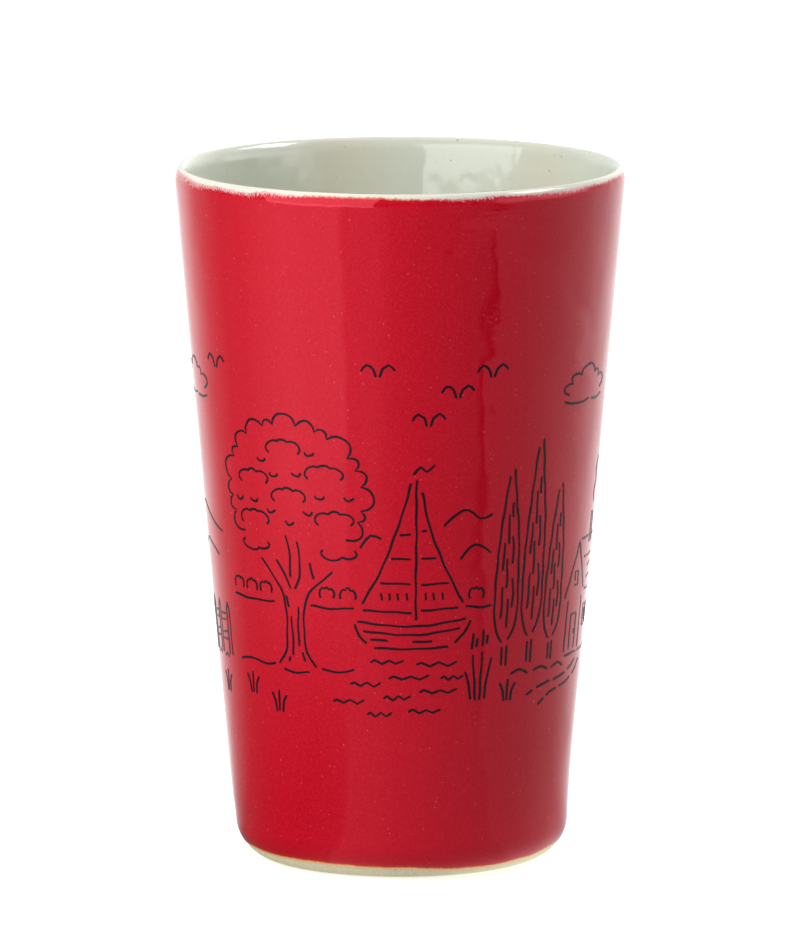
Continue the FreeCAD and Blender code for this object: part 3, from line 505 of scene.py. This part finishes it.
LINER_STEPS = 30
LIP_LEVEL = 120                 # the lip lies above this
FAR_FROM_SEAM = 9.0
LINER_LIGHT = (0.69, 0.71, 0.62, 1)
LINER_GREEN = (0.64, 0.675, 0.57, 1)
LINER_WARM = (0.73, 0.67, 0.54, 1)
LINER_MILK = (0.73, 0.75, 0.68, 1)
LIP_CREAM = (0.84, 0.78, 0.64, 1)
IRON_BROWN = (0.22, 0.20, 0.13, 1)
IRON_SPECKS = (0.0021, 0.00030, 0.6)  # spacing and size in metres, and the share that shows

face_drops = (SEAM_DROP, 1.3, 1.1, 0.9, 0.7, 0.5, 0.35, 0.22, 0.12, 0.05)
back_drops = (0.05, 0.2, 0.5, 0.9, 1.2, SEAM_DROP)
lip_face = [(CUP_HEIGHT - drop, 0.0) for drop in face_drops]
lip_back = [(CUP_HEIGHT - drop, GLAZE) for drop in back_drops]
lip_rows = lip_face + lip_back
liner_outline = (
    [under(*row) for row in lip_face]
    + inner_skin(0.0, LINER_STEPS)
    + inner_skin(GLAZE, INSIDE_STEPS)[::-1]
    + [under(*row) for row in lip_back]
    + [under(*lip_face[0])]
)
liner = throw("liner_glaze_piece", liner_outline, RED_TURNS)

# The liner's outer edge follows the seam
known = {}
to_seam = [FAR_FROM_SEAM] * len(liner.data.vertices)
for vertex in liner.data.vertices:
    radius, azimuth, level = polar(vertex)
    if radius < LIP_CREST or level < LIP_LEVEL:
        continue
    height, depth = drawn_row(lip_rows, known, radius, level)
    seam = seam_at(azimuth)
    height = CUP_HEIGHT - (CUP_HEIGHT - height) * (CUP_HEIGHT - seam) / SEAM_DROP
    radius, level = under(height, depth)
    place(vertex, radius, azimuth, level)
    to_seam[vertex.index] = height - seam
liner.data.attributes.new("to_seam", "FLOAT", "POINT").data.foreach_set("value", to_seam)

liner_finish, tree, shader, where = finish("celadon_glaze_coat", CELADON[:3], 0.085, 1.48)
broad = cloud(tree, where, 45, 3)
warm = cloud(tree, where, 28, 1)
fine = cloud(tree, where, 1100, 3, 0.6)
iron = dots(tree, where, *IRON_SPECKS)
colour = tint(tree, broad, LINER_LIGHT, LINER_GREEN)
colour = tint(tree, ease(tree, warm, 0.55, 0.75, 0.0, 0.5), colour, LINER_WARM)
colour = tint(tree, ease(tree, fine, 0.4, 0.8, 0.0, 0.25), colour, LINER_MILK)
colour = tint(tree, times(tree, iron, 0.6), colour, IRON_BROWN)
colour = tint(tree, ease(tree, note(tree, "to_seam"), 0.0, 0.7, 0.6, 0.0), colour, LIP_CREAM)
tree.links.new(colour, shader.inputs["Base Color"])
runs = add(tree, "ShaderNodeMapping", [("Vector", where), ("Scale", (1, 1, 0.6))]).outputs[0]
swell = cloud(tree, runs, 170, 2)
bumps(tree, shader, [(swell, 0.00038, 0.6), (cloud(tree, where, 600, 1), 0.00001, 0.6)])
liner.data.materials.append(liner_finish)
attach(liner, "root")
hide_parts("liner_glaze")


# Line drawing. Ceramic pen lines in a blue-black colour, fired into the top of the red glaze; they
# stand a hair above it and shine less than it does. Their meshes are the frame's own.

INK = (0.010, 0.005, 0.012)
INK_BLACK = (0.006, 0.004, 0.011, 1)
INK_WORN = (0.020, 0.006, 0.013, 1)

ink_finish, tree, shader, where = finish("fired_ink", INK, 0.3)
shader.inputs["Specular IOR Level"].default_value = 0.14
wear = cloud(tree, where, 420, 3)
colour = tint(tree, wear, INK_BLACK, INK_WORN)
tree.links.new(colour, shader.inputs["Base Color"])
tree.links.new(ease(tree, wear, 0.3, 0.8, 0.22, 0.42), shader.inputs["Roughness"])
bumps(tree, shader, [(cloud(tree, where, 2200, 2), 0.00001, 0.6)])
for name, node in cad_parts.items():
    if name.startswith("ink_"):
        node.data.materials.clear()
        node.data.materials.append(ink_finish)


# Studio. A white table that keeps the cup's shadow, a wide soft lamp low on the left, paler light
# from behind and above, and a camera at the photograph's angle.

TABLE_SIZE = 14                 # metres, as are the places of the lamp and the camera
WHITE = (1, 1, 1, 1)
TABLE_WHITE = (0.86, 0.86, 0.86, 1)
TABLE_GREY = (0.26, 0.26, 0.26, 1)  # what the table sends back to the cup, besides its glow
TABLE_GLOW = 0.47               # lifts the table to white for the camera and leaves the shadow
RAMP_TOP = 4.0                  # a ramp holds its tones as shares of this
HALF_TURN = 180
# Painted reflection: the table glows with these tones, and with the card edges below, for glossy rays only
FAR_TONES = (                   # azimuth in degrees, and the tone that the glaze mirrors far from the cup
    (-180, 1.3), (-145, 1.2), (-125, 0.65), (-105, 0.35), (-90, 0.55), (-78, 1.1), (-60, 2.0), (-30.4, 2.2),
    (-28.6, 1.15), (-14, 1.15), (-3, 0.6), (10, 0.48), (42, 0.52), (46.5, 0.0), (49.3, 0.0), (50.1, 0.85),
    (72, 0.95), (92, 1.05), (110, 1.05), (128, 1.2), (145, 1.4), (180, 1.3),
)
NEAR_TONES = (                  # the same close to the cup
    (-180, 1.3), (-145, 1.2), (-125, 0.6), (-105, 0.2), (-75, 0.1), (-50, 0.1), (-30.4, 0.4), (-28.6, 0.9),
    (-14, 0.9), (0, 0.75), (25, 0.75), (48.6, 0.8), (50.4, 1.0), (80, 0.85), (107, 0.62), (125, 0.80),
    (150, 1.2), (180, 1.3),
)
CARD_DRIFT = 26.0               # degrees that the right card's edge wanders
CARD_TONGUE = (26.0, -6.0)      # degrees that it turns in, then out, where the lip's shoulder mirrors it
REAR_FILL = (110, 180, 4, 34, 8, 5.0)  # left, right, low and high edge in degrees, softness, strength
HIGH_FILL = (25, 115, 56, 88, 6, 1.7)
GLOSS_CARDS = (                 # the same, for the cards that only the gloss shows
    (50, 112, 0, 18, 10, 3.4), (105, 172, 2, 24, 10, 0.7),
    (74, 108, 33, 52, 2, 12.0), (60, 120, 22, 50, 5, 1.8),
)
DIM_SKY = 0.12                  # strength of the sky all round
BACK_SKY = 0.75                 # added behind the cup
TOP_SKY = 1.15                  # and overhead
LAMP_AZIMUTH = -41.5            # degrees
LAMP_DISTANCE = 0.50
LAMP_HEIGHT = 0.25
LAMP_AIM = 0.10                 # height on the cup's axis that the lamp points at
LAMP_WIDTH = 0.58
LAMP_TALL = 0.40
LAMP_POWER = 2.8
CAMERA_DISTANCE = 2.4304
CAMERA_HEIGHT = 0.4516
CAMERA_AIM = 0.07103
CAMERA_SENSOR = 36              # millimetres, as is the lens
CAMERA_LENS = 521.46
CAMERA_REACH = 50

bpy.ops.object.select_all(action="DESELECT")
bpy.ops.mesh.primitive_plane_add(size=TABLE_SIZE)
table = bpy.context.object
table.name = "table_top"
table_finish, tree, shader, where = finish("table_white", TABLE_WHITE[:3], 0.8)
shader.inputs["Specular IOR Level"].default_value = 0.0
rays = add(tree, "ShaderNodeLightPath").outputs
paint = tint(tree, rays["Is Camera Ray"], TABLE_GREY, TABLE_WHITE)
tree.links.new(paint, shader.inputs["Base Color"])


def tones(tree, azimuth, places):
    """Brightness by azimuth in degrees, as a ramp through places (azimuth, tone)."""
    ramp = add(tree, "ShaderNodeValToRGB", [(0, sums(tree, "MULTIPLY_ADD", azimuth, 0.5 / HALF_TURN, 0.5))])
    stops = ramp.color_ramp.elements
    while len(stops) < len(places):
        stops.new(0.5)
    for stop, (angle, tone) in zip(stops, places):
        stop.position = (angle + HALF_TURN) / 2 / HALF_TURN
    for stop, (angle, tone) in zip(stops, places):
        stop.color = (tone / RAMP_TOP, tone / RAMP_TOP, tone / RAMP_TOP, 1)
    return times(tree, ramp.outputs[0], RAMP_TOP)


def azimuth_nodes(tree, vector):
    """Azimuth in degrees of a vector, and its parts."""
    parts = add(tree, "ShaderNodeSeparateXYZ", [(0, vector)]).outputs
    back = times(tree, parts[1], -1.0)
    return times(tree, sums(tree, "ARCTAN2", parts[0], back), HALF_TURN / math.pi), parts


# Painted reflection for the glaze to mirror, seen by glossy rays only: the table glows as a white card to
# the left, a dark strip ahead, and white all behind. The right card's edge wanders, and turns in where the
# shoulder under the lip mirrors it.
turn, parts = azimuth_nodes(tree, where)
across = times(tree, parts[1], parts[1])
away = sums(tree, "SQRT", sums(tree, "MULTIPLY_ADD", parts[0], parts[0], across))
tongue = times(tree, ease(tree, away, 0.409, 0.419), ease(tree, away, 0.421, 0.46, *CARD_TONGUE))
drift = sums(tree, "SUBTRACT", cloud(tree, where, 16, 1), 0.5)
drift = sums(tree, "MULTIPLY_ADD", drift, CARD_DRIFT, tongue)
turn = sums(tree, "MULTIPLY_ADD", drift, ease(tree, turn, 5, 30), turn)
near, far = tones(tree, turn, NEAR_TONES), tones(tree, turn, FAR_TONES)
mirrored = add(tree, "ShaderNodeMix", [(0, ease(tree, away, 0.06, 0.30)), (2, near), (3, far)])
painted_card_glow = add(tree, "ShaderNodeEmission", [(0, WHITE), (1, mirrored.outputs[0])])

# Painted light: near the foot the table glows for rays other than the camera's and the gloss, more on the
# right, to light the foot;
# and the white that the camera sees
right_side = times(tree, ease(tree, turn, 0, 90, 0.45, 1.2), ease(tree, turn, 75, 115, 1.0, 0.35))
painted_foot_glow = times(tree, ease(tree, away, 0.024, 0.045, 1.0, 0.0), right_side)
glow = add(tree, "ShaderNodeMix", [(0, rays["Is Camera Ray"]), (2, painted_foot_glow), (3, TABLE_GLOW)])
lifted = add(tree, "ShaderNodeEmission", [(0, WHITE), (1, glow.outputs[0])])
seen = add(tree, "ShaderNodeAddShader", [(0, shader.outputs[0]), (1, lifted.outputs[0])])
either = add(tree, "ShaderNodeMixShader", [
    (0, rays["Is Glossy Ray"]), (1, seen.outputs[0]), (2, painted_card_glow.outputs[0]),
])
tree.links.new(either.outputs[0], tree.nodes["Material Output"].inputs["Surface"])
table_finish.cycles.emission_sampling = "NONE"
table.data.materials.append(table_finish)

# The sky: dim, paler behind and overhead, with fill panels for the light and cards for the gloss
world = bpy.data.worlds.new("studio")
bpy.context.scene.world = world
world.use_nodes = True
tree = world.node_tree
turn, parts = azimuth_nodes(tree, add(tree, "ShaderNodeTexCoord").outputs["Generated"])
lift = times(tree, sums(tree, "ARCSINE", parts[2]), HALF_TURN / math.pi)


def within(value, low, high, soft):
    """1 between two limits and 0 outside them, with soft edges."""
    rise = ease(tree, value, low - soft, low + soft)
    return times(tree, rise, ease(tree, value, high - soft, high + soft, 1.0, 0.0))


def panel(left, right, low, high, soft, strength):
    """A soft-edged bright panel on the sky, in degrees of azimuth and elevation."""
    return times(tree, within(turn, left, right, soft), within(lift, low, high, soft), strength)


sky = sums(tree, "ADD", DIM_SKY, ease(tree, sums(tree, "ABSOLUTE", turn), 112, 132, 0.0, BACK_SKY))
sky = sums(tree, "ADD", sky, ease(tree, lift, 48, 66, 0.0, TOP_SKY))
fill = sums(tree, "ADD", panel(*REAR_FILL), panel(*HIGH_FILL))
cards = 0.0
for edges in GLOSS_CARDS:
    cards = sums(tree, "ADD", cards, panel(*edges))
rays = add(tree, "ShaderNodeLightPath").outputs
panels = add(tree, "ShaderNodeMix", [(0, rays["Is Glossy Ray"]), (2, fill), (3, cards)])
sky = sums(tree, "ADD", sky, panels.outputs[0])
strength = add(tree, "ShaderNodeMix", [(0, rays["Is Camera Ray"]), (2, sky), (3, 1.0)])
background = tree.nodes["Background"]
background.inputs[0].default_value = WHITE
tree.links.new(strength.outputs[0], background.inputs[1])

angle = math.radians(LAMP_AZIMUTH)
lamp_place = (LAMP_DISTANCE * math.sin(angle), -LAMP_DISTANCE * math.cos(angle), LAMP_HEIGHT)
bpy.ops.object.light_add(type="AREA", location=lamp_place)
lamp = bpy.context.object
lamp.name = "soft_lamp"
lamp.data.shape = "RECTANGLE"
lamp.data.size = LAMP_WIDTH
lamp.data.size_y = LAMP_TALL
lamp.data.energy = LAMP_POWER
lamp.rotation_euler = (math.pi / 2 - math.atan2(LAMP_HEIGHT - LAMP_AIM, LAMP_DISTANCE), 0, angle)
lamp.visible_camera = False

bpy.ops.object.camera_add(location=(0, -CAMERA_DISTANCE, CAMERA_HEIGHT))
camera = bpy.context.object
camera.rotation_euler = (math.pi / 2 - math.atan2(CAMERA_HEIGHT - CAMERA_AIM, CAMERA_DISTANCE), 0, 0)
camera.data.sensor_fit = "VERTICAL"
camera.data.sensor_height = CAMERA_SENSOR
camera.data.lens = CAMERA_LENS
camera.data.clip_end = CAMERA_REACH
bpy.context.scene.camera = camera
bpy.context.scene.view_settings.view_transform = "Standard"
